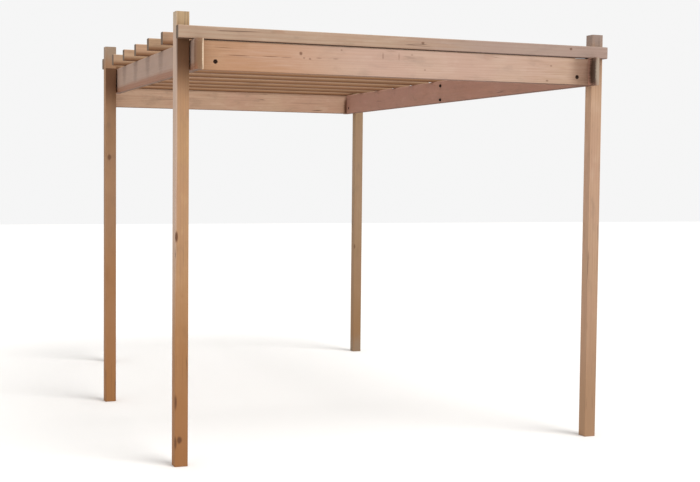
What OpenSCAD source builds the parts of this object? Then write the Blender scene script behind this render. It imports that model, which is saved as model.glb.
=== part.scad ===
// Timber garden pergola: five posts, side beams bolted to the inner faces of the posts,
// a deep board across the front and the rear, and twelve battens laid across the beams.
// Behind the middle post the left side runs inwards to a rear post nearer the middle.
// Sizes are in millimetres, Z is up, and the front of the pergola faces -Y.

/* [Overall] */
// Width across the outer faces of the posts
frame_w = 2580; // [2100:10:3600]
// Depth from the front face of the front posts to the rear face of the rear posts
frame_d = 3920; // [3200:10:5200]
// Height of the posts
post_h = 2400; // [2000:10:3000]

/* [Timber sections] */
// Side of the square posts
post_size = 72; // [60:1:120]
// Height of the side beams
beam_h = 160; // [120:1:220]
// Height of the front board
board_h = 155; // [110:1:210]
// Thickness of the side beams
beam_t = 45; // [32:1:60]
// Thickness of the front and rear boards
board_t = 36; // [28:1:50]
// Height of the battens
batten_h = 68; // [45:1:95]
// Thickness of the battens
batten_t = 52; // [36:1:70]
// Radius of the eased long edges of all the timber
edge_r = 5; // [2:0.5:8]
// Radius of the upright edges at the ends of the side beams
end_r = 10; // [4:1:15]

/* [Layout] */
// Height of the posts above the beams' top edge
post_rise = 144; // [90:1:260]
// Length that the side beams run past the faces of the end posts
beam_run = 100; // [60:1:200]
// Space between the posts and the beams beside them
beam_gap = 8; // [4:1:20]
// Space between the posts and the boards in front of and behind them
board_gap = 10; // [4:1:20]
// Distance from the front face of the front posts to the centre of the middle post
front_bay = 2077; // [1400:1:2400]
// Distance that the rear left post stands in from the left side
rear_inset = 338; // [150:1:500]
// Clearance between the rear end of the left beam and the rail that passes it
rail_play = 5; // [1:1:8]
// Distance from the front face of the front posts to the bolts halfway along the right beam
mid_bolt_y = 1990; // [1400:1:2400]
// Number of spaces between battens up to the one behind the middle post
front_spaces = 6; // [3:1:9]
// Number of spaces between battens from there to the rear
rear_spaces = 5; // [3:1:9]

/* [Corner cleats] */
// Width of the cleats along the boards
cleat_w = 100; // [75:1:140]
// Thickness of the cleats
cleat_t = 45; // [30:1:60]
// Height of the cleats
cleat_h = 130; // [90:1:160]

/* [Bolts and screws] */
// Diameter of the bolts and coach screws
bolt_d = 10; // [8:1:14]
// Clearance of their holes on the diameter
bolt_play = 1; // [0.5:0.5:2]
// Diameter of the counterbores
bore_d = 24; // [22:1:34]
// Depth of the counterbores
bore_depth = 12; // [8:1:16]
// Height of the screws and the front board's bolts above the beams' lower edge
fixing_up = 46; // [40:1:90]
// Distance of the front board's bolts from the side beams
board_bolt_in = 75; // [40:1:80]
// Distance of the right beam's upper bolt below its top edge
bolt_drop = 36; // [25:1:60]
// Distance between the right beam's upper and lower bolts
bolt_pitch = 103; // [60:1:120]
// Length of the screws inside the timber that they hold
screw_hold = 50; // [30:1:56]

/* [Hidden] */
beam_top = post_h - post_rise;
beam_low = beam_top - beam_h;
beam_out = post_size + beam_gap;
beam_in = beam_out + beam_t;
hole_d = bolt_d + bolt_play;
head_d = 22;
washer_t = 2;
nut_w = 1.7 * bolt_d;
nut_h = 0.8 * bolt_d;
bolt_end = 2;
// The left side runs inwards behind the middle post
turn_y = front_bay + post_size / 2;
rail_run = frame_d - post_size - turn_y;
turn = atan(rear_inset / rail_run);
rail_in = (post_size - beam_t / cos(turn)) / 2;
rail_out = rail_in + beam_t / cos(turn);
// The left beam runs back past the middle post until the rail comes near it
left_run = (beam_out - rail_play - rail_out) / tan(turn);
// The battens touch the front of the front posts, the rear of the middle post and the
// rear of the rear posts
front_pitch = (turn_y + batten_t) / front_spaces;
rear_pitch = (frame_d - turn_y) / rear_spaces;
batten_ys = concat([for (i = [0 : front_spaces]) i * front_pitch - batten_t],
                   [for (i = [1 : rear_spaces]) turn_y + i * rear_pitch]);
bolt_zs = [beam_top - bolt_drop, beam_top - bolt_drop - bolt_pitch];
fixing_z = beam_low + fixing_up;
rear_screw_x = rear_inset + post_size / 2;
rear_screw_zs = [fixing_z, fixing_z + beam_h / 3];
rear_board_y = frame_d + board_gap + board_t / 2;
board_bolt_xs = [beam_in + board_bolt_in, frame_w - beam_in - board_bolt_in];
edge_steps = 3;
far = frame_w + frame_d;
$fn = 48;

// ---- Shared shapes ----

// The pieces are laid out from the front left corner, and the frame's origin is on the
// ground in the middle of the plan
module from_corner() {
    translate([-frame_w / 2, -frame_d / 2, 0]) children();
}

// Frame of the left side behind the middle post: +Y runs back along it, +X runs inwards
module on_turned_side() {
    translate([0, turn_y, 0]) rotate(-turn) children();
}

// Mirror image on the right side
module on_right() {
    translate([frame_w, 0, 0]) mirror([1, 0, 0]) children();
}

// Mirror image at the rear
module at_rear() {
    translate([0, frame_d, 0]) mirror([0, 1, 0]) children();
}

function eased_corner(x, y, r, start) =
    [for (i = [0 : edge_steps]) let (a = start + i * 90 / edge_steps)
        [x + r * cos(a), y + r * sin(a)]];

// Rectangle with eased corners
module section(w, h, r = edge_r) {
    polygon(concat(eased_corner(w - r, h - r, r, 0), eased_corner(r, h - r, r, 90),
                   eased_corner(r, r, r, 180), eased_corner(w - r, r, r, 270)));
}

module timber_along_x(thick, high, length) {
    rotate([90, 0, 90]) linear_extrude(length) section(thick, high);
}

module timber_along_y(thick, high, length) {
    translate([0, length, 0]) rotate([90, 0, 0]) linear_extrude(length) section(thick, high);
}

// Side beam from its front end back, with its upright end edges rounded
module side_beam(length) {
    intersection() {
        translate([beam_out, -beam_run, beam_low]) timber_along_y(beam_t, beam_h, length);
        translate([beam_out, -beam_run, beam_low]) linear_extrude(beam_h)
            section(beam_t, length, end_r);
    }
}

// Hole along +X from inside a post, through the beam beside it, with its counterbore in the
// beam's inner face
module side_hole(y) {
    translate([post_size - screw_hold - bolt_play, y, fixing_z]) rotate([0, 90, 0])
        cylinder(d = hole_d, h = screw_hold + bolt_play + beam_gap + beam_t + 1);
    translate([beam_in - bore_depth, y, fixing_z]) rotate([0, 90, 0])
        cylinder(d = bore_d, h = bore_depth + 1);
}

// Nut and washer, seated at the origin and pointing along +Z
module nut() {
    cylinder(d = head_d, h = washer_t);
    translate([0, 0, washer_t]) cylinder(d = nut_w / cos(30), h = nut_h, $fn = 6);
}

// Coach screw along -Z: its head is seated at the origin, and a spacer fills the gap between
// the timber that it passes and the one that it holds
module coach_screw(passed, gap) {
    nut();
    translate([0, 0, -passed - gap - screw_hold])
        cylinder(d = bolt_d, h = passed + gap + screw_hold + washer_t);
    if (gap > 0) translate([0, 0, -passed - gap]) cylinder(d = head_d, h = gap);
}

// Coach screw through a side beam into the post beside it
module side_screw(y) {
    color("dimgray") translate([beam_in - bore_depth, y, fixing_z]) rotate([0, 90, 0])
        coach_screw(beam_t - bore_depth, beam_gap);
}

// Bolt through a board and the cleat behind it, along +Y
module board_bolt(x) {
    grip = board_t - bore_depth + cleat_t;
    translate([x, -board_gap - board_t + bore_depth, fixing_z]) rotate([-90, 0, 0]) {
        mirror([0, 0, 1]) nut();
        cylinder(d = bolt_d, h = grip + washer_t + nut_h + bolt_end);
        translate([0, 0, grip]) nut();
    }
}

// ---- Posts ----

module post_blank() {
    linear_extrude(post_h) section(post_size, post_size);
}

module end_post() {
    color("peru") difference() {
        post_blank();
        side_hole(post_size / 2);
    }
}

module post_front_left() {
    from_corner() end_post();
}

module post_front_right() {
    from_corner() on_right() end_post();
}

module post_middle_left() {
    color("peru") from_corner() difference() {
        translate([0, front_bay - post_size / 2, 0]) post_blank();
        side_hole(front_bay);
    }
}

// The rear left post has blind holes in its rear face for the board's screws
module post_rear_left() {
    color("peru") from_corner() difference() {
        translate([rear_inset, frame_d - post_size, 0]) post_blank();
        for (z = rear_screw_zs)
            translate([rear_screw_x, frame_d + 1, z]) rotate([90, 0, 0])
                cylinder(d = hole_d, h = screw_hold + 1 + bolt_play);
    }
}

module post_rear_right() {
    from_corner() on_right() at_rear() end_post();
}

// ---- Side beams ----

module side_beam_left() {
    color("burlywood") from_corner() difference() {
        side_beam(beam_run + turn_y + left_run);
        for (y = [post_size / 2, front_bay]) side_hole(y);
    }
}

module side_beam_right() {
    color("burlywood") from_corner() on_right() difference() {
        side_beam(frame_d + 2 * beam_run);
        for (y = [post_size / 2, frame_d - post_size / 2]) side_hole(y);
        for (z = bolt_zs)
            translate([0, mid_bolt_y, z]) rotate([0, 90, 0]) cylinder(d = hole_d, h = beam_in + 1);
        end_screw_hole();
    }
}

// Hole through the right beam's end into the rear board, counterbored in the beam's outer face
module end_screw_hole() {
    translate([beam_out, rear_board_y, fixing_z]) rotate([0, 90, 0]) {
        cylinder(d = hole_d, h = beam_t + screw_hold + bolt_play);
        translate([0, 0, -1]) cylinder(d = bore_d, h = bore_depth + 1);
    }
}

// The rail stands between the middle and the rear left post, with mitred ends
module side_rail_left() {
    color("burlywood") from_corner() intersection() {
        translate([rail_in, 0, 0]) on_turned_side() translate([0, -beam_t, beam_low])
            timber_along_y(beam_t, beam_h, rail_run / cos(turn) + 2 * beam_t);
        translate([0, turn_y, 0]) cube([frame_w, rail_run, post_h]);
    }
}

// ---- Front and rear boards ----

// Counterbored hole along +Y through a board and the cleat behind it
module board_hole(x) {
    translate([x, -board_gap - board_t, fixing_z]) rotate([-90, 0, 0]) {
        translate([0, 0, -1]) cylinder(d = bore_d, h = bore_depth + 1);
        cylinder(d = hole_d, h = board_t + cleat_t + 1);
    }
}

module front_board() {
    color("tan") from_corner() difference() {
        translate([beam_in, -board_gap - board_t, beam_low])
            timber_along_x(board_t, board_h, frame_w - 2 * beam_in);
        for (x = board_bolt_xs) board_hole(x);
    }
}

// The left end of the rear board lies behind the rear left post, flush with its outer face
module rear_board() {
    color("tan") from_corner() difference() {
        at_rear() translate([rear_inset, -board_gap - board_t, beam_low])
            timber_along_x(board_t, beam_h, frame_w - beam_in - rear_inset);
        on_right() end_screw_hole();
        for (z = rear_screw_zs)
            translate([rear_screw_x, frame_d + board_gap + board_t, z]) rotate([90, 0, 0]) {
                translate([0, 0, -1]) cylinder(d = bore_d, h = bore_depth + 1);
                cylinder(d = hole_d, h = board_t + 1);
            }
    }
}

// ---- Battens ----

// The front battens reach across the whole width, the others end in line with the left side
module batten(i) {
    color("sandybrown") from_corner() difference() {
        translate([0, batten_ys[i], beam_top]) timber_along_x(batten_t, batten_h, frame_w);
        if (i > front_spaces)
            on_turned_side() translate([-far, -far, 0]) cube([far, 3 * far, far]);
    }
}

// ---- Cleats behind the ends of the boards ----

module cleat() {
    color("sienna") difference() {
        translate([beam_in, -board_gap, beam_low + (board_h - cleat_h) / 2])
            cube([cleat_w, cleat_t, cleat_h]);
        board_hole(board_bolt_xs[0]);
    }
}

module cleat_front_left() {
    from_corner() cleat();
}

module cleat_front_right() {
    from_corner() on_right() cleat();
}

// ---- Bolts and screws ----

module screw_front_left() {
    from_corner() side_screw(post_size / 2);
}

module screw_front_right() {
    from_corner() on_right() side_screw(post_size / 2);
}

module screw_middle_left() {
    from_corner() side_screw(front_bay);
}

module screw_rear_right() {
    from_corner() on_right() at_rear() side_screw(post_size / 2);
}

// Screw through the right beam's end into the rear board
module screw_rear_board() {
    color("dimgray") from_corner() on_right()
        translate([beam_out + bore_depth, rear_board_y, fixing_z]) rotate([0, -90, 0])
            coach_screw(beam_t - bore_depth, 0);
}

// Screws through the rear board into the rear left post
module screws_rear_left() {
    color("dimgray") from_corner() for (z = rear_screw_zs)
        translate([rear_screw_x, frame_d + board_gap + board_t - bore_depth, z])
            rotate([-90, 0, 0]) coach_screw(board_t - bore_depth, board_gap);
}

module bolts_front_board() {
    color("dimgray") from_corner() for (x = board_bolt_xs) board_bolt(x);
}

// Bolts halfway along the right beam: their heads stand on its inner face and their nuts on
// its outer face
module bolts_right_beam() {
    color("dimgray") from_corner() on_right() for (z = bolt_zs)
        translate([beam_out, mid_bolt_y, z]) rotate([0, 90, 0]) {
            mirror([0, 0, 1]) nut();
            translate([0, 0, -washer_t - nut_h - bolt_end])
                cylinder(d = bolt_d, h = washer_t + nut_h + bolt_end + beam_t);
            translate([0, 0, beam_t]) nut();
        }
}

post_front_left();
post_front_right();
post_middle_left();
post_rear_left();
post_rear_right();
side_beam_left();
side_beam_right();
side_rail_left();
front_board();
rear_board();
batten(0);  // batten_01
batten(1);  // batten_02
batten(2);  // batten_03
batten(3);  // batten_04
batten(4);  // batten_05
batten(5);  // batten_06
batten(6);  // batten_07
batten(7);  // batten_08
batten(8);  // batten_09
batten(9);  // batten_10
batten(10);  // batten_11
batten(11);  // batten_12
cleat_front_left();
cleat_front_right();
screw_front_left();
screw_front_right();
screw_middle_left();
screw_rear_right();
screw_rear_board();
screws_rear_left();
bolts_front_board();
bolts_right_beam();
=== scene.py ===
"""Garden pergola in planed pine: the finish of each timber, the small fixings and the stage."""

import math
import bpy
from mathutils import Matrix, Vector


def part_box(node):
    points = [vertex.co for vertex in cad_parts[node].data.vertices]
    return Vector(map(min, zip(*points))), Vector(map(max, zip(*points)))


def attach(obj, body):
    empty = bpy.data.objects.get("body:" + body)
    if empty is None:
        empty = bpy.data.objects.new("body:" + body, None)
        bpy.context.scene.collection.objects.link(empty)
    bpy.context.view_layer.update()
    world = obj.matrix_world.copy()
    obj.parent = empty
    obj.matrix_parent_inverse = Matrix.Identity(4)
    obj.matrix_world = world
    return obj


bl_info = {
    "name": "Garden Pergola",
    "version": (1, 0, 0),
    "blender": (4, 5, 0),
    "location": "View3D > Sidebar > Pergola",
    "description": "Finishes the timbers of a garden pergola and adds its batten screws",
    "category": "Object",
}

import bmesh
import bpy
from bpy.props import FloatProperty, FloatVectorProperty, IntProperty, PointerProperty
from mathutils import Matrix, Vector

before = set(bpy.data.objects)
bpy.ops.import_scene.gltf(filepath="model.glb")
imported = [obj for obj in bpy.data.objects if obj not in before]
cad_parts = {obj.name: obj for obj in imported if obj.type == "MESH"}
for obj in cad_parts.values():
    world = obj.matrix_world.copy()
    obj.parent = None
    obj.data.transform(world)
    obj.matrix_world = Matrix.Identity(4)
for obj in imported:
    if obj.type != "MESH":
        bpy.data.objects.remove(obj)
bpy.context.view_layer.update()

POSTS = ("post_front_left", "post_front_right", "post_middle_left", "post_rear_left", "post_rear_right")
SIDE_BEAMS = ("side_beam_left", "side_beam_right")
END_BOARDS = ("front_board", "rear_board")
BATTENS = tuple(sorted(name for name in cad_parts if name.startswith("batten_")))
CLEATS = tuple(sorted(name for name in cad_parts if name.startswith("cleat_")))
FIXINGS = tuple(sorted(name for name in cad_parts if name.startswith(("bolts_", "screw"))))

# How a timber lies: the turn that brings the local Z axis onto its grain
UPRIGHT = (0.0, 0.0, 0.0)
ALONG_X = (0.0, math.pi / 2, 0.0)
ALONG_Y = (-math.pi / 2, 0.0, 0.0)


def linear(hex_colour):
    """sRGB hex colour as linear red, green and blue."""
    values = [int(hex_colour[i:i + 2], 16) / 255 for i in (1, 3, 5)]
    return tuple(v / 12.92 if v <= 0.04045 else ((v + 0.055) / 1.055) ** 2.4 for v in values)


def tone(name, hex_colour, description):
    """Colour property whose default is an sRGB hex colour."""
    return FloatVectorProperty(name=name, description=description, subtype="COLOR", size=3,
                               min=0.0, max=1.0, default=linear(hex_colour))


class PergolaTimber(bpy.types.PropertyGroup):
    post_tone: tone("Post tone", "#b0855c", "Colour of the posts' wood")
    beam_tone: tone("Side beam tone", "#a07f68", "Colour of the side beams' wood")
    board_tone: tone("Board tone", "#b49780", "Colour of the front and rear boards' wood")
    batten_tone: tone("Batten tone", "#a98f79", "Colour of the battens' wood")
    cleat_tone: tone("Cleat tone", "#a67c56", "Colour of the cleats' wood")
    resin_tone: tone("Late wood tone", "#8f5a36", "Colour of the dark half of each growth ring")
    knot_tone: tone("Knot tone", "#5b3720", "Colour of the knots")
    end_tone: tone("End grain tone", "#5a4a3c", "Colour of the end grain once it has drunk rain")
    # The colour below is painted shade: under the battens on post fronts, on downward faces and on lower
    # arrises
    painted_shade_tone: tone("Sheltered tone", "#4e2c14", "Colour of the wood that a batten shelters")
    weather_tone: tone("Weathered tone", "#a69a8b", "Colour that rain leaves on upper faces and end grain")
    ring_width: FloatProperty(name="Ring width", description="Width of one growth ring as drawn",
                              unit="LENGTH", default=0.013, min=0.002, max=0.05)
    knot_radius: FloatProperty(name="Knot radius", description="Radius of the larger knots",
                               unit="LENGTH", default=0.011, min=0.002, max=0.04)
    knot_spacing: FloatProperty(name="Knot spacing", description="Usual distance between knots",
                                unit="LENGTH", default=0.21, min=0.05, max=1.0)


class PergolaFixings(bpy.types.PropertyGroup):
    steel_tone: tone("Steel tone", "#2b1d16", "Colour of the dull bolts and screws")
    rust_tone: tone("Rust tone", "#4b2f1f", "Colour of the blotches of rust on them")
    head_width: FloatProperty(name="Screw head width", description="Diameter of the batten screws' heads",
                              unit="LENGTH", default=0.010, min=0.004, max=0.02)
    head_rise: FloatProperty(name="Screw head rise", description="How far the heads stand proud of the wood",
                             unit="LENGTH", default=0.0012, min=0.0002, max=0.005)
    head_sides: IntProperty(name="Screw head sides", description="Sides of a head's outline",
                            default=20, min=8, max=48)


class PergolaStudio(bpy.types.PropertyGroup):
    floor_tone: tone("Floor tone", "#f4f2ef", "Colour of the plain floor")
    sky_tone: tone("Air tone", "#ffffff", "Colour of the light from all around")
    floor_width: FloatProperty(name="Floor width", description="Width of the plain floor",
                               unit="LENGTH", default=60.0, min=10.0, max=200.0)
    eye: FloatVectorProperty(name="Eye", description="Where the camera stands", subtype="XYZ", size=3,
                             unit="LENGTH", default=(-2.825, -8.483, 1.553))
    heading: FloatProperty(name="Heading", description="Turn of the view from +Y towards +X",
                           subtype="ANGLE", default=math.radians(21.108))
    pitch: FloatProperty(name="Pitch", description="Rise of the view", subtype="ANGLE",
                         default=math.radians(-2.96))
    roll: FloatProperty(name="Roll", description="Lean of the view", subtype="ANGLE",
                        default=math.radians(0.585))
    lens: FloatProperty(name="Lens", description="Focal length in millimetres, for the sensor's width",
                        default=65.1, min=10.0, max=300.0)


# ---- Nodes of the finishes ----

# Settings that many of the nodes share
PLUS = {"operation": "ADD"}
MINUS = {"operation": "SUBTRACT"}
TIMES = {"operation": "MULTIPLY"}
OVER = {"operation": "DIVIDE"}
GREATER = {"operation": "MAXIMUM"}
BELOW = {"operation": "LESS_THAN"}
SIZE = {"operation": "ABSOLUTE"}
LENGTH = {"operation": "LENGTH"}
SOFT = {"interpolation_type": "SMOOTHSTEP"}
COLOURS = {"data_type": "RGBA"}
PLACED = {"vector_type": "TEXTURE"}


def add(tree, kind, settings=None, **links):
    """Adds a node. settings set its attributes, and links set or link its inputs.

    An input goes by its name or, as i0, by its number. A node given as a link stands for the
    first output that its settings leave it.
    """
    node = tree.nodes.new("ShaderNode" + kind)
    for key, value in (settings or {}).items():
        setattr(node, key, value)
    for key, value in links.items():
        numbered = key[0] == "i" and key[1:].isdigit()
        socket = node.inputs[int(key[1:]) if numbered else key.replace("_", " ")]
        if isinstance(value, bpy.types.Node):
            value = next(output for output in value.outputs if output.enabled)
        if isinstance(value, bpy.types.NodeSocket):
            tree.links.new(value, socket)
        elif socket.type == "RGBA":
            socket.default_value = (*value, 1.0)
        else:
            socket.default_value = value
    return node


def new_finish(name):
    """Empty material and its tree."""
    finish = bpy.data.materials.new(name)
    finish.use_nodes = True
    finish.node_tree.nodes.clear()
    return finish, finish.node_tree


def tinted(colour, shares):
    """Colour with the given shares of its red, green and blue, at most white."""
    return [min(1.0, part * share) for part, share in zip(colour, shares)]


# ---- Planed pine ----

# Metres from the middle of a timber to the pith of its tree, which lies outside the section, how far
# that differs between timbers, and the turn by which it runs askew
PITH_ASIDE = 0.055
PITH_SWAY = (0.02, 0.04)
PITH_SLANT = (0.012, -0.009, 0.0)
# How far the patterns shift from one timber to the next
SEED_SHIFT = (1.7, 2.3, 3.1)
# Patterns in the wood: rate per metre across the grain, share of it along the grain, detail, roughness
PATTERNS = {
    "fibres": (230.0, 0.02, 4.0, 0.62),  # Drawn 2 mm wide, as the real ones are too fine to show
    "streaks": (24.0, 0.06, 3.0, 0.5),  # About 40 mm wide and 0.8 m long
    "blotches": (17.0, 0.35, 4.0, 0.6),  # Where rain dried
    "patches": (2.2, 1.0, 3.0, 0.55),  # Damp and sun along the timber
    "splits": (26.0, 0.012, 2.0, 0.7),  # Hairline checks run where this crosses its middle value
    "dry stretches": (3.1, 1.0, 1.0, 0.5),  # Checks open only here
}
# Branches are less stretched along the trunk than the rest, and differ in size
KNOT_STRETCH = 0.8
SMALLEST_KNOT = 0.25
# Turns of a ring's wave by which streaks and knots bend it
STREAK_BEND = 7.2
KNOT_BEND = 3.84

# Shares of the wood's red, green and blue that its variations keep
PALE = (1.22, 1.22, 1.22)
PINK = (1.02, 0.90, 0.92)
DAMP = (0.62, 0.62, 0.62)
BLEACHED = (1.22, 1.28, 1.38)
# The next share is a painted highlight on upper arrises
PAINTED_ARRIS_HIGHLIGHT = (1.5, 1.5, 1.5)
# The next share is painted shade on the lower edge of side faces
PAINTED_EDGE_SHADE = (0.42, 0.29, 0.20)
DAMP_FOOT = (0.85, 0.72, 0.60)
CHECK_COLOUR = (0.055, 0.028, 0.015)

# Metres below the battens that the painted shadow on a post's front face reaches, and the share of them where
# it is full
PAINTED_SHADOW_REACH = 0.34
PAINTED_SHADOW_FULL = 0.3
# Metres above a batten's underside where the painted shade on its lower edge starts to fade, and where it
# ends
EDGE_START = 0.004
EDGE_END = 0.034


class PlanedPine:
    """Finish of one timber: planed softwood left outdoors for a season.

    The planer leaves a smooth matt face, so what shows is soft growth rings, fine fibres along the
    grain, a few knots, hairline checks where the wood dried, and grey on the faces that rain reaches.
    """

    def __init__(self, name, lie, wood, seed):
        self.name = name
        self.wood = wood
        self.colour = wood
        self.settings = bpy.context.scene.pergola_timber
        self.finish, tree = new_finish("planed_pine_" + name)
        self.tree = tree
        low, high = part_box(name)
        self.lower_edge = low.z
        self.space = add(tree, "TexCoord").outputs["Object"]
        self.height = add(tree, "SeparateXYZ", Vector=self.space).outputs[2]
        self.normal = add(tree, "NewGeometry").outputs["Normal"]
        self.rise = add(tree, "SeparateXYZ", Vector=self.normal).outputs[2]
        # The place in the timber's own axes, with Z along the grain, and the same moved by the seed
        self.own = add(tree, "Mapping", PLACED, Vector=self.space, Location=(low + high) / 2,
                       Rotation=[a + b for a, b in zip(lie, PITH_SLANT)])
        self.moved = add(tree, "VectorMath", PLUS, i0=self.own, i1=[seed * shift for shift in SEED_SHIFT])
        self.fibres = self.pattern("fibres")
        self.streaks = self.pattern("streaks")
        self.patches = self.pattern("patches")
        self.in_knot, self.by_knot = self.knots()
        self.late_wood = self.rings(seed)
        self.checks = self.hairlines()
        self.end_grain, self.arrises = self.faces(lie)

    def pattern(self, name):
        """One of the patterns, drawn out along the grain."""
        rate, along, detail, roughness = PATTERNS[name]
        place = add(self.tree, "Mapping", Vector=self.moved, Scale=(1.0, 1.0, along))
        return add(self.tree, "TexNoise", Vector=place, Scale=rate, Detail=detail, Roughness=roughness)

    def knots(self):
        """Masks of the knots and of the wood around them: round spots where a branch reaches a face."""
        tree = self.tree
        spacing = self.settings.knot_spacing
        place = add(tree, "Mapping", Vector=self.moved, Scale=(1.0, 1.0, KNOT_STRETCH))
        branch = add(tree, "TexVoronoi", Vector=place, Scale=1 / spacing)
        size = add(tree, "SeparateColor", i0=branch.outputs["Color"])
        size = add(tree, "MapRange", SOFT, Value=size, From_Min=0.15, To_Min=SMALLEST_KNOT)
        radius = add(tree, "Math", TIMES, i0=size, i1=self.settings.knot_radius)
        off = add(tree, "Math", TIMES, i0=branch.outputs["Distance"], i1=spacing)
        off = add(tree, "Math", OVER, i0=off, i1=radius)
        inside = add(tree, "MapRange", SOFT, Value=off, From_Min=0.55, From_Max=1.15, To_Min=1.0, To_Max=0.0)
        around = add(tree, "MapRange", SOFT, Value=off, From_Min=0.8, From_Max=4.5, To_Min=1.0, To_Max=0.0)
        return inside, around

    def rings(self, seed):
        """Mask of the late wood in growth rings, drawn wider than the real 3 mm and bent by knots."""
        tree = self.tree
        aside = (PITH_ASIDE + PITH_SWAY[0] * math.sin(seed), PITH_SWAY[1] * math.cos(1.7 * seed), 0.0)
        from_pith = add(tree, "SeparateXYZ", Vector=add(tree, "VectorMath", PLUS, i0=self.own, i1=aside))
        level = add(tree, "CombineXYZ", X=from_pith.outputs[0], Y=from_pith.outputs[1])
        distance = add(tree, "VectorMath", LENGTH, i0=level)
        wave = add(tree, "Math", TIMES, i0=distance, i1=2 * math.pi / self.settings.ring_width)
        for cause, bend in ((self.streaks, STREAK_BEND), (self.by_knot, KNOT_BEND)):
            wave = add(tree, "Math", PLUS, i0=wave, i1=add(tree, "Math", TIMES, i0=cause, i1=bend))
        wave = add(tree, "Math", {"operation": "SINE"}, i0=wave)
        return add(tree, "MapRange", SOFT, Value=wave, From_Min=-0.2)

    def hairlines(self):
        """Mask of the hairline checks, which open along the grain where the wood dried."""
        tree = self.tree
        off_line = add(tree, "Math", SIZE, i0=add(tree, "Math", MINUS, i0=self.pattern("splits"), i1=0.5))
        line = add(tree, "MapRange", SOFT, Value=off_line, From_Max=0.010, To_Min=1.0, To_Max=0.0)
        dry = add(tree, "MapRange", SOFT, Value=self.pattern("dry stretches"), From_Min=0.57, From_Max=0.66)
        return add(tree, "Math", TIMES, i0=line, i1=dry)

    def faces(self, lie):
        """Masks of the end grain and of the eased edges, which face between the flat sides."""
        tree = self.tree
        facing = add(tree, "VectorRotate", {"rotation_type": "EULER_XYZ", "invert": True},
                     Vector=self.normal, Rotation=lie)
        parts = add(tree, "SeparateXYZ", Vector=add(tree, "VectorMath", SIZE, i0=facing)).outputs
        end_grain = add(tree, "MapRange", SOFT, Value=parts[2], From_Min=0.7, From_Max=0.95)
        squarely = add(tree, "Math", GREATER, i0=parts[0], i1=parts[1])
        squarely = add(tree, "Math", GREATER, i0=squarely, i1=parts[2])
        arrises = add(tree, "MapRange", SOFT, Value=squarely, From_Min=0.80, From_Max=0.985, To_Min=1.0,
                      To_Max=0.0)
        return end_grain, arrises

    def coat(self, mask, strength, colour):
        """Lays a colour over the wood's as far as a mask and a strength let it."""
        share = add(self.tree, "Math", TIMES, i0=mask, i1=strength)
        self.colour = add(self.tree, "Mix", COLOURS, i0=share, i6=self.colour, i7=colour)

    def vary(self):
        """Pale streaks, pink patches, and the blotches that rain and dust leave, damp or bleached."""
        tree = self.tree
        pale = add(tree, "MapRange", SOFT, Value=self.streaks, From_Min=0.3, From_Max=0.75)
        self.coat(pale, 0.55, tinted(self.wood, PALE))
        pink = add(tree, "MapRange", SOFT, Value=self.patches, From_Min=0.42, From_Max=0.66)
        self.coat(pink, 0.75, tinted(self.wood, PINK))
        blotches = self.pattern("blotches")
        damp = add(tree, "MapRange", SOFT, Value=blotches, From_Min=0.52, From_Max=0.70)
        self.coat(damp, 0.5, tinted(self.wood, DAMP))
        bleached = add(tree, "MapRange", SOFT, Value=blotches, From_Min=0.30, From_Max=0.46, To_Min=1.0,
                       To_Max=0.0)
        self.coat(bleached, 0.5, tinted(self.wood, BLEACHED))

    def show_grain(self):
        """Late wood, fibres and knots in their darker, redder tones."""
        fibres = add(self.tree, "MapRange", SOFT, Value=self.fibres, From_Min=0.38, From_Max=0.72)
        self.coat(self.late_wood, 0.20, self.settings.resin_tone)
        self.coat(fibres, 0.22, self.settings.resin_tone)
        self.coat(self.by_knot, 0.28, self.settings.resin_tone)
        self.coat(self.in_knot, 0.78, self.settings.knot_tone)

    def weather(self, weathering, end_dark):
        """Grey where rain lies: on upper faces, and on end grain, which drinks it."""
        tree = self.tree
        upward = add(tree, "MapRange", SOFT, Value=self.rise, From_Min=0.4, From_Max=0.9, To_Max=0.75)
        grey = add(tree, "Math", TIMES, i0=self.patches, i1=weathering)
        grey = add(tree, "Math", PLUS, i0=upward, i1=grey)
        fibres = add(tree, "MapRange", SOFT, Value=self.fibres, From_Min=0.2, From_Max=0.8, To_Min=0.55)
        self.coat(grey, fibres, self.settings.weather_tone)
        self.coat(self.end_grain, end_dark, self.settings.end_tone)

    def paint_underside_shade(self, strength):
        """Painted shade on the downward faces, in a dark brown."""
        downward = add(self.tree, "MapRange", SOFT, Value=self.rise, From_Min=-0.9, From_Max=-0.4, To_Min=1.0,
                       To_Max=0.0)
        self.coat(downward, strength, self.settings.painted_shade_tone)

    def paint_lower_edge_shade(self, strength):
        """Painted shade on the lower edge of the side faces, fading upwards, not on end grain."""
        tree = self.tree
        edge = add(tree, "MapRange", SOFT, Value=self.height, From_Min=self.lower_edge + EDGE_START,
                   From_Max=self.lower_edge + EDGE_END, To_Min=1.0, To_Max=0.0)
        side = add(tree, "Math", MINUS, i0=1.0, i1=self.end_grain)
        self.coat(add(tree, "Math", TIMES, i0=edge, i1=side), strength, tinted(self.wood, PAINTED_EDGE_SHADE))

    def paint_arris_highlight_and_shade(self):
        """Painted highlight on the upper arrises, and painted shade in dark brown on the lower ones."""
        tree = self.tree
        upper = add(tree, "MapRange", SOFT, Value=self.rise, From_Min=-0.5, From_Max=0.1, To_Max=0.55)
        self.coat(self.arrises, upper, tinted(self.wood, PAINTED_ARRIS_HIGHLIGHT))
        lower = add(tree, "MapRange", SOFT, Value=self.rise, From_Min=-0.8, From_Max=-0.1, To_Min=0.85,
                    To_Max=0.0)
        self.coat(self.arrises, lower, self.settings.painted_shade_tone)

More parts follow.
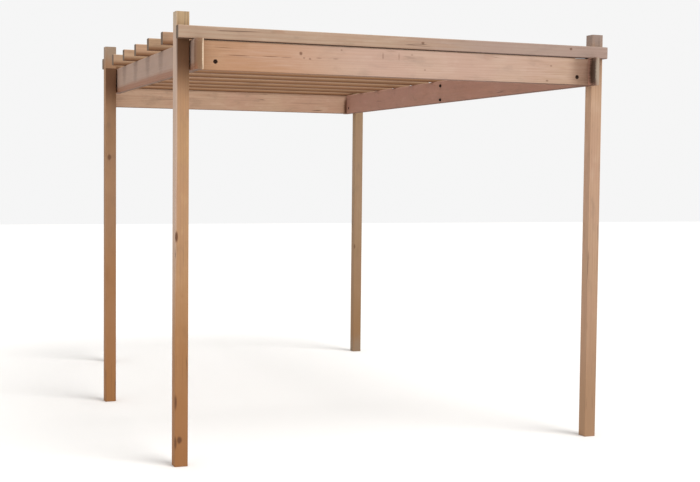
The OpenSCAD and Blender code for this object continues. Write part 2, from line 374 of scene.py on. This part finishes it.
    def stain_foot(self, strength):
        """The foot of a post is damper and keeps its warm colour, with a ragged upper limit."""
        tree = self.tree
        ragged = add(tree, "Math", TIMES, i0=self.patches, i1=0.8)
        height = add(tree, "Math", PLUS, i0=self.height, i1=ragged)
        foot = add(tree, "MapRange", SOFT, Value=height, From_Min=0.4, From_Max=1.9, To_Min=1.0, To_Max=0.0)
        self.coat(foot, strength, tinted(self.wood, FOOT_SHADES.get(self.name, DAMP_FOOT)))

    def paint_shadow_below_battens(self, strength):
        """Painted shadow of the battens on a post's front face, darkest just below them."""
        tree = self.tree
        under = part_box(BATTENS[0])[0].z
        dark = add(tree, "MapRange", SOFT, Value=self.height, From_Min=under - PAINTED_SHADOW_REACH,
                   From_Max=under - PAINTED_SHADOW_FULL * PAINTED_SHADOW_REACH)
        dark = add(tree, "Math", TIMES, i0=dark, i1=add(tree, "Math", BELOW, i0=self.height, i1=under))
        front = add(tree, "SeparateXYZ", Vector=self.normal).outputs[1]
        front = add(tree, "MapRange", SOFT, Value=front, From_Min=-0.9, From_Max=-0.3, To_Min=1.0, To_Max=0.0)
        self.coat(add(tree, "Math", TIMES, i0=dark, i1=front), strength, self.settings.painted_shade_tone)

    def mark(self, middle, half_sizes, strength, hex_colour=None):
        """A knot, a check, a stain, or painted shade or highlight: an ellipsoid with a ragged edge, by
        default in a knot's colour.
        """
        tree = self.tree
        place = add(tree, "Mapping", PLACED, Vector=self.space, Location=middle, Scale=half_sizes)
        ragged = add(tree, "Math", TIMES, i0=self.fibres, i1=0.9)
        reach = add(tree, "Math", PLUS, i0=add(tree, "VectorMath", LENGTH, i0=place), i1=ragged)
        mask = add(tree, "MapRange", SOFT, Value=reach, From_Min=0.85, From_Max=1.45, To_Min=1.0, To_Max=0.0)
        self.coat(mask, strength, linear(hex_colour) if hex_colour else self.settings.knot_tone)

    def plane(self):
        """Opens the checks, and gives the face its sheen and relief. Late wood is a little glossier."""
        tree = self.tree
        self.coat(self.checks, 0.8, CHECK_COLOUR)
        matt = add(tree, "MapRange", SOFT, Value=self.late_wood, To_Min=0.78, To_Max=0.66)
        relief = add(tree, "Math", TIMES, i0=self.fibres, i1=0.6)
        for cause, rise in ((self.late_wood, 0.25), (self.checks, -1.5)):
            relief = add(tree, "Math", PLUS, i0=relief, i1=add(tree, "Math", TIMES, i0=cause, i1=rise))
        bump = add(tree, "Bump", Height=relief, Strength=0.35, Distance=0.0012)
        shader = add(tree, "BsdfPrincipled", Base_Color=self.colour, Roughness=matt, Specular_IOR_Level=0.3,
                     Normal=bump)
        add(tree, "OutputMaterial", Surface=shader)


def planed_pine(name, lie, wood, seed, weathering=0.35, end_dark=0.45, foot_stain=0.0, painted_shadow=0.0,
                underside=0.0, inner=0.0, marks=()):
    """Finish of one timber. The shares say how strongly it is weathered and stained, and how much shade is
    painted on it.
    """
    pine = PlanedPine(name, lie, wood, seed)
    pine.vary()
    pine.show_grain()
    pine.weather(weathering, end_dark)
    if underside:
        pine.paint_underside_shade(underside)
    # inner sets the painted shade on the lower edge of side faces
    if inner:
        pine.paint_lower_edge_shade(inner)
    pine.paint_arris_highlight_and_shade()
    if foot_stain:
        pine.stain_foot(foot_stain)
    if painted_shadow:
        pine.paint_shadow_below_battens(painted_shadow)
    for mark in marks:
        pine.mark(*mark)
    pine.plane()
    return pine.finish


def dull_steel():
    """Zinc plated steel gone dull and dark outdoors: a soft sheen with blotches of oxide."""
    settings = bpy.context.scene.pergola_fixings
    finish, tree = new_finish("dull_zinc_plated_steel")
    space = add(tree, "TexCoord").outputs["Object"]
    oxide = add(tree, "TexNoise", Vector=space, Scale=140.0, Detail=4.0, Roughness=0.6)
    rust = add(tree, "MapRange", SOFT, Value=oxide, From_Min=0.52, From_Max=0.72, To_Max=0.55)
    colour = add(tree, "Mix", COLOURS, i0=rust, i6=settings.steel_tone, i7=settings.rust_tone)
    sheen = add(tree, "MapRange", SOFT, Value=oxide, From_Min=0.3, From_Max=0.7, To_Min=0.42, To_Max=0.68)
    bump = add(tree, "Bump", Height=oxide, Strength=0.25, Distance=0.0006)
    shader = add(tree, "BsdfPrincipled", Base_Color=colour, Metallic=0.85, Roughness=sheen, Normal=bump)
    add(tree, "OutputMaterial", Surface=shader)
    return finish


def dress(name, finish):
    """Gives a CAD node its finish."""
    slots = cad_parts[name].data.materials
    if not slots:
        slots.append(finish)
    for i in range(len(slots)):
        slots[i] = finish


# ---- Marks that this pergola's timbers have ----

# How dark the painted shadow of the battens is on the front face of a post
POSTS_WITH_PAINTED_SHADOW = {"post_front_left": 0.88, "post_middle_left": 0.85}
# How much red, green and blue each timber keeps of its group's colour, and each foot of its post's
SHADES = {
    "post_front_left": (0.98, 1.0, 0.95),
    "post_front_right": (1.05, 1.22, 1.68),
    "post_middle_left": (0.68, 0.64, 0.60),
    "post_rear_right": (0.68, 0.80, 0.92),
    "post_rear_left": (0.70, 0.72, 0.74),
    "side_beam_right": (1.05, 0.83, 0.92),
    "side_rail_left": (0.9, 0.85, 0.85),
    "rear_board": (1.0, 0.97, 0.94),
}
FOOT_SHADES = {
    "post_front_left": (0.66, 0.50, 0.36),
    "post_front_right": (0.72, 0.66, 0.58),
    "post_middle_left": (1.08, 0.93, 0.72),
}
# The first batten has had the most rain, and the others keep more of their yellow
FIRST_BATTEN_SHADE = (1.0, 1.0, 1.0)
BATTEN_SHADE = (1.15, 1.06, 0.90)


def shaded(wood, name):
    """Colour of one timber, from its group's."""
    return tinted(wood, SHADES.get(name, (1.0, 1.0, 1.0)))


def above_roof(name, strength, hex_colour):
    """Grey that rain leaves on the top of a post, where nothing covers it."""
    low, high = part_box(name)
    middle = ((low.x + high.x) / 2, (low.y + high.y) / 2, high.z)
    return (middle, (0.10, 0.10, high.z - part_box(BATTENS[0])[0].z), strength, hex_colour)


def on_post(name, x, y, z):
    """Place on a post, from its left face, its front face and the ground."""
    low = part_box(name)[0]
    return (low.x + x, low.y + y, z)


def post_marks():
    """Grey tops, a paler left face, knots and small stains."""
    return {
        "post_front_left": [
            (on_post("post_front_left", 0.0, 0.036, 1.85), (0.012, 0.12, 1.25), 0.6, "#c0ada2"),
            above_roof("post_front_left", 0.4, "#b3a685"),
            (on_post("post_front_left", 0.005, 0.0, 1.222), (0.012, 0.012, 0.038), 0.9),
            (on_post("post_front_left", 0.025, 0.0, 0.143), (0.018, 0.010, 0.026), 0.85),
            (on_post("post_front_left", 0.003, 0.002, 0.345), (0.010, 0.012, 0.055), 0.75),
            (on_post("post_front_left", 0.003, 0.002, 0.130), (0.010, 0.012, 0.045), 0.75)],
        "post_front_right": [above_roof("post_front_right", 0.8, "#8a7a74")],
        "post_middle_left": [
            above_roof("post_middle_left", 0.55, "#978a7c"),
            (on_post("post_middle_left", 0.026, 0.0, 1.66), (0.018, 0.012, 0.026), 0.75)],
        "post_rear_left": [above_roof("post_rear_left", 0.5, "#978a7c")],
        "post_rear_right": [
            above_roof("post_rear_right", 0.5, "#978a7c"),
            (on_post("post_rear_right", 0.036, 0.036, 0.0), (0.08, 0.08, 0.20), 0.45, "#857a6e"),
            (on_post("post_rear_right", 0.003, 0.0, 0.93), (0.012, 0.012, 0.026), 0.6)],
    }


def beam_marks():
    """Grey wash and brown lower band on the left beam's outer face, painted shade on the left part of each
    front end with a painted highlight on its right side, and painted shadow streaks below the battens.
    """
    low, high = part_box("side_beam_left")
    front = low.y
    z = (low.z + high.z) / 2
    # Tall enough to colour the whole height of a beam
    tall = 0.9 * (high.z - low.z)
    # The left beam's outer face, from its front end as far as the middle post
    midway = front + 1.16
    left = [((low.x, midway, high.z), (0.02, 3.0, 0.30), 0.45, "#a08d84"),
            # The next two are painted shade on the left part of the front end, and the third a painted
            # highlight on its right arris
            ((low.x, front, z), (0.040, 0.05, tall), 0.8, "#6f4a30"),
            ((low.x + 0.026, front, z), (0.030, 0.04, tall), 0.7, "#7d5e42"),
            ((high.x - 0.003, front + 0.004, z), (0.010, 0.02, tall), 0.9, "#e2c8ac"),
            ((low.x, midway, low.z), (0.02, 2.6, 0.050), 0.65, "#8a5638")]
    # Painted shadow streaks below the battens, from the second batten to the one at the middle post
    left += [((low.x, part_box(name)[0].y + 0.05, high.z), (0.012, 0.085, 0.17), 0.35, "#6b574c")
             for name in BATTENS[1:7]]
    low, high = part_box("side_beam_right")
    # Painted shade on the left half of the front end, and a painted highlight on its right part
    right = [((low.x, front, z), (0.050, 0.06, tall), 1.0, "#3f2a1c"),
             ((high.x - 0.006, front, z), (0.030, 0.03, tall), 0.9, "#a79684")]
    return {"side_beam_left": left, "side_beam_right": right}


# Specks on the front board: place from its middle and above its lower edge, half sizes, strength. They
# are a long hairline check with knots at its end, two runs, a few dots, and painted shade at the right end,
# by the corner with the right beam
BOARD_SPECKS = (
    (-0.97, 0.083, 0.075, 0.0035, 0.6), (-0.79, 0.085, 0.070, 0.0035, 0.55),
    (-0.70, 0.084, 0.040, 0.0030, 0.4), (-0.618, 0.109, 0.012, 0.012, 0.7),
    (-0.600, 0.085, 0.008, 0.006, 0.45), (-0.566, 0.081, 0.010, 0.007, 0.5),
    (-0.515, 0.088, 0.022, 0.004, 0.4), (-0.420, 0.088, 0.022, 0.004, 0.35),
    (-0.385, 0.137, 0.007, 0.006, 0.5), (-0.141, 0.116, 0.006, 0.026, 0.35),
    (-0.045, 0.116, 0.006, 0.026, 0.3), (-0.093, 0.144, 0.040, 0.004, 0.25),
    (0.033, 0.129, 0.008, 0.005, 0.4), (0.113, 0.049, 0.008, 0.006, 0.4),
    (0.890, 0.018, 0.012, 0.007, 0.6), (0.915, 0.104, 0.010, 0.007, 0.45),
    (1.165, 0.079, 0.150, 0.220, 0.5))
# How deep a mark on a flat face reaches to either side of it
FACE_DEPTH = 0.02


def board_marks():
    """Washes, specks and painted shade at the right end on the front board, and a resin streak and painted
    shade at the right end of the rear one.
    """
    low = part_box("front_board")[0]
    front = [((-0.95, low.y, low.z + 0.074), (0.75, FACE_DEPTH, 0.30), 0.55, "#ab7a50"),
             ((0.10, low.y, low.z + 0.104), (1.30, FACE_DEPTH, 0.20), 0.3, "#c9aca2")]
    front += [((x, low.y, low.z + z), (half_x, FACE_DEPTH, half_z), strength)
              for x, z, half_x, half_z, strength in BOARD_SPECKS]
    low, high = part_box("rear_board")
    rear = [((0.80, low.y, low.z + 0.079), (0.24, FACE_DEPTH, 0.006), 0.3),
            # Painted shade at the right end, by the corner with the right beam
            ((high.x, low.y, low.z + 0.054), (0.035, FACE_DEPTH, 0.120), 0.9)]
    return {"front_board": front, "rear_board": rear}


def batten_marks():
    """Grey towards the right end of the first batten, and two small knots."""
    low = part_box("batten_01")[0]
    return {"batten_01": [((1.05, low.y, low.z + 0.034), (1.1, 0.04, 0.20), 0.45, "#9a8784"),
                          ((1.042, low.y, low.z + 0.047), (0.012, FACE_DEPTH, 0.010), 0.7),
                          ((0.096, low.y, low.z + 0.037), (0.012, FACE_DEPTH, 0.010), 0.6)]}


MARKS = {**post_marks(), **beam_marks(), **board_marks(), **batten_marks()}


# ---- Operators ----


class PERGOLA_OT_posts(bpy.types.Operator):
    """Finish the posts"""
    bl_idname = "pergola.posts"
    bl_label = "Finish Posts"

    def execute(self, context):
        wood = context.scene.pergola_timber.post_tone
        for i, name in enumerate(POSTS):
            dress(name, planed_pine(name, UPRIGHT, shaded(wood, name), 1.0 + i, weathering=0.42,
                                    foot_stain=0.9, painted_shadow=POSTS_WITH_PAINTED_SHADOW.get(name, 0.0),
                                    marks=MARKS[name]))
        return {"FINISHED"}


class PERGOLA_OT_side_beams(bpy.types.Operator):
    """Finish the side beams and the rail behind the middle post"""
    bl_idname = "pergola.side_beams"
    bl_label = "Finish Side Beams"

    def execute(self, context):
        wood = context.scene.pergola_timber.beam_tone
        for i, name in enumerate(SIDE_BEAMS):
            dress(name, planed_pine(name, ALONG_Y, shaded(wood, name), 7.0 + i, weathering=0.45,
                                    end_dark=0.15, underside=0.7, marks=MARKS[name]))
        low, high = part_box("side_rail_left")
        beam_low, beam_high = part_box("side_beam_left")
        thickness = beam_high.x - beam_low.x
        turn = math.atan2(high.x - low.x - thickness, high.y - low.y)
        lie = (ALONG_Y[0], 0.0, -turn)
        dress("side_rail_left", planed_pine("side_rail_left", lie, shaded(wood, "side_rail_left"), 9.0,
                                            weathering=0.45))
        return {"FINISHED"}


class PERGOLA_OT_end_boards(bpy.types.Operator):
    """Finish the front and rear boards"""
    bl_idname = "pergola.end_boards"
    bl_label = "Finish End Boards"

    def execute(self, context):
        wood = context.scene.pergola_timber.board_tone
        for i, name in enumerate(END_BOARDS):
            dress(name, planed_pine(name, ALONG_X, shaded(wood, name), 11.0 + i, weathering=0.2,
                                    underside=0.8, marks=MARKS[name]))
        return {"FINISHED"}


class PERGOLA_OT_battens(bpy.types.Operator):
    """Finish the battens"""
    bl_idname = "pergola.battens"
    bl_label = "Finish Battens"

    def execute(self, context):
        wood = context.scene.pergola_timber.batten_tone
        for i, name in enumerate(BATTENS):
            shade = BATTEN_SHADE if i else FIRST_BATTEN_SHADE
            # Each is a little lighter or darker than the one before
            light = 1.0 + 0.07 * math.sin(2.4 * i)
            own = tinted(wood, [share * light for share in shade])
            dress(name, planed_pine(name, ALONG_X, own, 13.0 + i, weathering=0.38, end_dark=0.9,
                                    underside=0.85, inner=0.95 if i else 0.0, marks=MARKS.get(name, ())))
        return {"FINISHED"}


class PERGOLA_OT_cleats(bpy.types.Operator):
    """Finish the cleats behind the boards"""
    bl_idname = "pergola.cleats"
    bl_label = "Finish Cleats"

    def execute(self, context):
        wood = context.scene.pergola_timber.cleat_tone
        for i, name in enumerate(CLEATS):
            dress(name, planed_pine(name, UPRIGHT, wood, 26.0 + i, weathering=0.2))
        return {"FINISHED"}


class PERGOLA_OT_bolts(bpy.types.Operator):
    """Finish the bolts and coach screws"""
    bl_idname = "pergola.bolts"
    bl_label = "Finish Bolts"

    def execute(self, context):
        finish = dull_steel()
        for name in FIXINGS:
            dress(name, finish)
        return {"FINISHED"}


def choose_upper_faces(obj):
    """Selects the faces that look up, in edit mode."""
    bpy.ops.mesh.select_all(action="DESELECT")
    mesh = bmesh.from_edit_mesh(obj.data)
    for face in mesh.faces:
        face.select = face.normal.z > 0.9
    mesh.select_flush(True)
    bmesh.update_edit_mesh(obj.data)


def screw_head():
    """One head with an eased rim and a round drive recess, facing up at the origin."""
    settings = bpy.context.scene.pergola_fixings
    radius = settings.head_width / 2
    # Half of the head is sunk in the wood
    depth = 2 * settings.head_rise
    rim = 0.12 * radius
    recess_edge = 0.42 * radius
    recess_depth = 0.6 * depth
    bpy.ops.object.select_all(action="DESELECT")
    bpy.ops.mesh.primitive_cylinder_add(vertices=settings.head_sides, radius=radius, depth=depth,
                                        location=(0.0, 0.0, 0.0))
    head = bpy.context.object
    bpy.ops.object.mode_set(mode="EDIT")
    bpy.ops.mesh.select_mode(type="FACE")
    choose_upper_faces(head)
    bpy.ops.mesh.bevel(offset=rim, segments=2, affect="EDGES")
    choose_upper_faces(head)
    bpy.ops.mesh.inset(thickness=recess_edge, depth=0.0)
    bpy.ops.mesh.extrude_region_move(TRANSFORM_OT_translate={"value": (0.0, 0.0, -recess_depth)})
    bpy.ops.object.mode_set(mode="OBJECT")
    return head


def screw_places():
    """Where the batten screws sit: over each side beam or the rail, in the middle of the batten."""
    left_low, left_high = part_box("side_beam_left")
    right_low, right_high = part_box("side_beam_right")
    rail_low, rail_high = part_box("side_rail_left")
    half = (left_high.x - left_low.x) / 2
    for name in BATTENS:
        low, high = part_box(name)
        y = (low.y + high.y) / 2
        left_x = (left_low.x + left_high.x) / 2
        if y > left_high.y:
            share = (y - rail_low.y) / (rail_high.y - rail_low.y)
            left_x = rail_low.x + half + share * (rail_high.x - rail_low.x - 2 * half)
        yield Vector((left_x, y, high.z))
        yield Vector(((right_low.x + right_high.x) / 2, y, high.z))


class PERGOLA_OT_batten_screws(bpy.types.Operator):
    """Add the screws that hold the battens to the side beams"""
    bl_idname = "pergola.batten_screws"
    bl_label = "Add Batten Screws"

    def execute(self, context):
        first = screw_head()
        heads = []
        for place in screw_places():
            copy = bpy.data.objects.new("head", first.data.copy())
            copy.data.transform(Matrix.Translation(place))
            context.collection.objects.link(copy)
            heads.append(copy)
        bpy.data.objects.remove(first)
        bpy.ops.object.select_all(action="DESELECT")
        for head in heads:
            head.select_set(True)
        context.view_layer.objects.active = heads[0]
        bpy.ops.object.join()
        screws = context.object
        screws.name = "batten_screws"
        screws.data.materials.clear()
        screws.data.materials.append(dull_steel())
        bpy.ops.object.shade_smooth_by_angle(angle=math.radians(35))
        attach(screws, "root")
        return {"FINISHED"}


# Strength of the air as a light, and as it looks
AIR_LIGHT = 0.72
AIR_LOOK = 0.92
# Lamps: name, where its light comes from, its width in degrees and its strength
LAMPS = (("key", (2.5, -4.5, 11.0), 24.0, 1.85), ("fill", (-9.0, -7.0, 2.5), 34.0, 0.5))
LAMP_AIM = Vector((0.0, 0.0, 1.2))
# The floor lies this far below the feet, so that the two don't meet in one plane
FLOOR_DROP = 0.001


class PERGOLA_OT_studio(bpy.types.Operator):
    """Set the floor, the light and the camera"""
    bl_idname = "pergola.studio"
    bl_label = "Set Studio"

    def execute(self, context):
        settings = context.scene.pergola_studio
        self.add_floor(settings)
        self.add_air(context, settings)
        self.add_lamps(context)
        self.add_camera(context, settings)
        return {"FINISHED"}

    def add_floor(self, settings):
        bpy.ops.object.select_all(action="DESELECT")
        bpy.ops.mesh.primitive_plane_add(size=settings.floor_width, location=(0.0, 0.0, -FLOOR_DROP))
        floor = bpy.context.object
        floor.name = "floor"
        finish, tree = new_finish("matt_paper_floor")
        paper = add(tree, "BsdfPrincipled", Base_Color=settings.floor_tone, Roughness=0.9)
        add(tree, "OutputMaterial", Surface=paper)
        floor.data.materials.append(finish)

    def add_air(self, context, settings):
        world = bpy.data.worlds.new("studio_air")
        world.use_nodes = True
        tree = world.node_tree
        tree.nodes.clear()
        # The air looks as pale as the floor, though it lights the timber less than that
        seen = add(tree, "LightPath").outputs["Is Camera Ray"]
        strength = add(tree, "MapRange", Value=seen, To_Min=AIR_LIGHT, To_Max=AIR_LOOK)
        air = add(tree, "Background", Color=settings.sky_tone, Strength=strength)
        add(tree, "OutputWorld", Surface=air)
        context.scene.world = world
        context.scene.view_settings.view_transform = "Standard"

    def add_lamps(self, context):
        for name, place, width, strength in LAMPS:
            data = bpy.data.lights.new(name, "SUN")
            data.angle = math.radians(width)
            data.energy = strength
            lamp = bpy.data.objects.new(name, data)
            context.collection.objects.link(lamp)
            lamp.location = place
            lamp.rotation_euler = (LAMP_AIM - lamp.location).to_track_quat("-Z", "Y").to_euler()

    def add_camera(self, context, settings):
        ahead = Vector((math.sin(settings.heading) * math.cos(settings.pitch),
                        math.cos(settings.heading) * math.cos(settings.pitch), math.sin(settings.pitch)))
        level = Vector((math.cos(settings.heading), -math.sin(settings.heading), 0.0))
        upright = level.cross(ahead)
        right = level * math.cos(settings.roll) + upright * math.sin(settings.roll)
        up = upright * math.cos(settings.roll) - level * math.sin(settings.roll)
        data = bpy.data.cameras.new("eye")
        data.sensor_width = 36.0
        data.lens = settings.lens
        data.clip_end = 200.0
        camera = bpy.data.objects.new("eye", data)
        context.collection.objects.link(camera)
        turn = Matrix((right, up, -ahead)).transposed().to_4x4()
        camera.matrix_world = Matrix.Translation(settings.eye) @ turn
        context.scene.camera = camera


class PERGOLA_PT_panel(bpy.types.Panel):
    bl_label = "Garden Pergola"
    bl_idname = "PERGOLA_PT_panel"
    bl_space_type = "VIEW_3D"
    bl_region_type = "UI"
    bl_category = "Pergola"

    def draw(self, context):
        for group in GROUPS:
            settings = getattr(context.scene, group)
            for name in settings.__annotations__:
                self.layout.prop(settings, name)
        for operator in OPERATORS:
            self.layout.operator(operator.bl_idname)


OPERATORS = (PERGOLA_OT_posts, PERGOLA_OT_side_beams, PERGOLA_OT_end_boards, PERGOLA_OT_battens,
             PERGOLA_OT_cleats, PERGOLA_OT_bolts, PERGOLA_OT_batten_screws, PERGOLA_OT_studio)
GROUPS = {"pergola_timber": PergolaTimber, "pergola_fixings": PergolaFixings,
          "pergola_studio": PergolaStudio}


def register():
    for cls in (*GROUPS.values(), *OPERATORS, PERGOLA_PT_panel):
        bpy.utils.register_class(cls)
    for name, group in GROUPS.items():
        setattr(bpy.types.Scene, name, PointerProperty(type=group))


def unregister():
    for name in GROUPS:
        delattr(bpy.types.Scene, name)
    for cls in reversed((*GROUPS.values(), *OPERATORS, PERGOLA_PT_panel)):
        bpy.utils.unregister_class(cls)


def main():
    register()
    bpy.ops.pergola.studio()
    bpy.ops.pergola.posts()
    bpy.ops.pergola.side_beams()
    bpy.ops.pergola.end_boards()
    bpy.ops.pergola.battens()
    bpy.ops.pergola.cleats()
    bpy.ops.pergola.bolts()
    bpy.ops.pergola.batten_screws()


if __name__ == "__main__":
    main()
